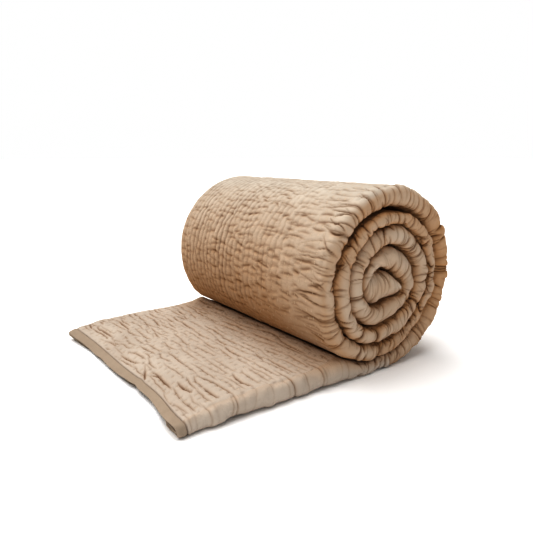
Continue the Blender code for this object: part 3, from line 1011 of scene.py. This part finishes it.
def build_camera():
    turn, rise = CAMERA_TURN, CAMERA_RISE
    back = Vector((math.sin(turn) * math.cos(rise), -math.cos(turn) * math.cos(rise), math.sin(rise)))
    right = Vector((math.cos(turn), math.sin(turn), 0))
    up = back.cross(right)
    target = Vector((AXIS_X, MIDDLE_Y, 0)) + Vector(TARGET) * ROLL_RADIUS
    data = bpy.data.cameras.new("camera")
    data.sensor_width = SENSOR
    data.lens = FOCAL_PIXELS / FRAME_PIXELS * SENSOR
    camera = link_object("camera", data)
    turned = Matrix((right, up, back)).transposed().to_4x4()
    camera.matrix_world = Matrix.Translation(target + back * CAMERA_DISTANCE * ROLL_RADIUS) @ turned
    bpy.context.scene.camera = camera


# ---------- the quilt

def declare(piece, node):
    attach(piece, "root")
    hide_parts(node)


def build_quilt():
    """The cloth in stretches: the lying end, the outer turn and the turns inside it."""
    rolled = cloth_material("washed_cotton_rolled", *ROLLED_CLOTH)
    # The lying end gets the darker copy of the cloth, painted shade
    lying = cloth_material("washed_cotton_lying_shaded", *LYING_CLOTH_SHADED)
    fine, hidden = FINE_COLUMNS, HIDDEN_COLUMNS
    places = OFF_FLOOR, OVERHEAD, FALLING, PAST_CONTACT
    off_floor, overhead, falling, past_contact = map(stack.length_at, places)
    halfway_in = (past_contact + stack.length) / 2
    under = stack.contact + UNDER_ROLL
    flat = [
        Stretch("lying_end", TONGUE, under, (hidden, fine), full_slit=True),
        Stretch("lying_end_back", TONGUE, OPEN_LENGTH, (hidden, fine), face=False, full_slit=True),
        Stretch("under_roll", under, off_floor, (hidden, hidden), full_slit=True),
    ]
    turns = [
        Stretch("outer_turn_right", off_floor, overhead, (fine, hidden)),
        Stretch("outer_turn_top", overhead, falling, (fine, hidden)),
        Stretch("outer_turn_left", falling, past_contact, (fine, hidden)),
        Stretch("second_turn", past_contact, halfway_in, (hidden, hidden)),
        Stretch("inner_turns", halfway_in, stack.length - STATION_STEP, (hidden, hidden), capped=True),
    ]
    for stretch in flat + turns:
        piece = stretch.build(lying if stretch in flat else rolled)
        declare(piece, "quilt")
    return flat[0], turns[:3]


def build_stitches(lying, rolled):
    """Running stitches as short threads that dip into the cloth at both ends."""
    rows = range(FOLD_ROWS + 1, FOLD_ROWS + FACE_ROWS)
    seats = lying.stitch_seats(rows, 0.020, stack.contact + 0.006)
    first, last = map(stack.length_at, STITCHED)
    for stretch in rolled:
        seats += stretch.stitch_seats(range(-FACE_ROWS, 0), first, last)
    middle, along, out = (np.array(column)[:, None, None] for column in zip(*seats))
    along = along / np.linalg.norm(along, axis=3, keepdims=True)
    side = np.cross(along, out)
    share, girth, rise = (np.array(column)[:, None, None] for column in zip(*THREAD_SECTIONS))
    girth, rise = girth * THREAD_THICK / 2, rise * THREAD_THICK
    angle = np.radians(np.arange(THREAD_SIDES) * 360 / THREAD_SIDES)[None, :, None]
    points = middle + along * (share * THREAD_LENGTH / 2) + side * (girth * np.cos(angle))
    points = points + out * (rise + girth * np.sin(angle))
    one = grid_faces(len(share), THREAD_SIDES, wrap_columns=True)
    last = (len(share) - 1) * THREAD_SIDES
    near_end, far_end = np.array(((0, 3, 2, 1), (0, 5, 4, 3))), np.array(((0, 1, 2, 3), (0, 3, 4, 5)))
    one = np.vstack((one, near_end, last + far_end))
    faces = one[None] + np.arange(len(seats))[:, None, None] * len(share) * THREAD_SIDES
    piece = link_mesh("running_stitches", points, faces.reshape(-1, 4).tolist(), thread_material())
    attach(piece, "root")


def build_binding():
    """The strip over the cloth's end: a C-shaped wall that follows the folded layers."""
    nose, height = STRIP_NOSE
    round_end = [(nose - nose * math.sin(turn), height * math.cos(turn)) for turn in NOSE_ANGLES]
    upper = [*STRIP_OUTSIDE, *round_end]
    outside = upper + [(0.0, 0.0)] + [(s, -share) for s, share in reversed(upper)]
    inside = list(STRIP_INSIDE) + [(s, -share) for s, share in reversed(STRIP_INSIDE)]
    ring = outside + inside
    s = np.array([at for at, _ in ring])
    share = np.array([height for _, height in ring])[:, None, None]
    *sides, _ = stack.at(s)
    thick = np.linalg.norm(sides[1] - sides[0], axis=1)
    skins = [place(Cut(thick, STRIP_COLUMNS, face, True), sides, 0.0) for face in (True, False)]
    points = (skins[0] + skins[1]) / 2 + (skins[0] - skins[1]) / 2 * share
    faces = grid_faces(len(ring), points.shape[1], wrap_rows=True).tolist()
    piece = link_mesh("end_binding_strip", points, faces, binding_material())
    declare(piece, "end_binding")


build_stitches(*build_quilt())
build_binding()
build_floor()
build_light()
build_camera()
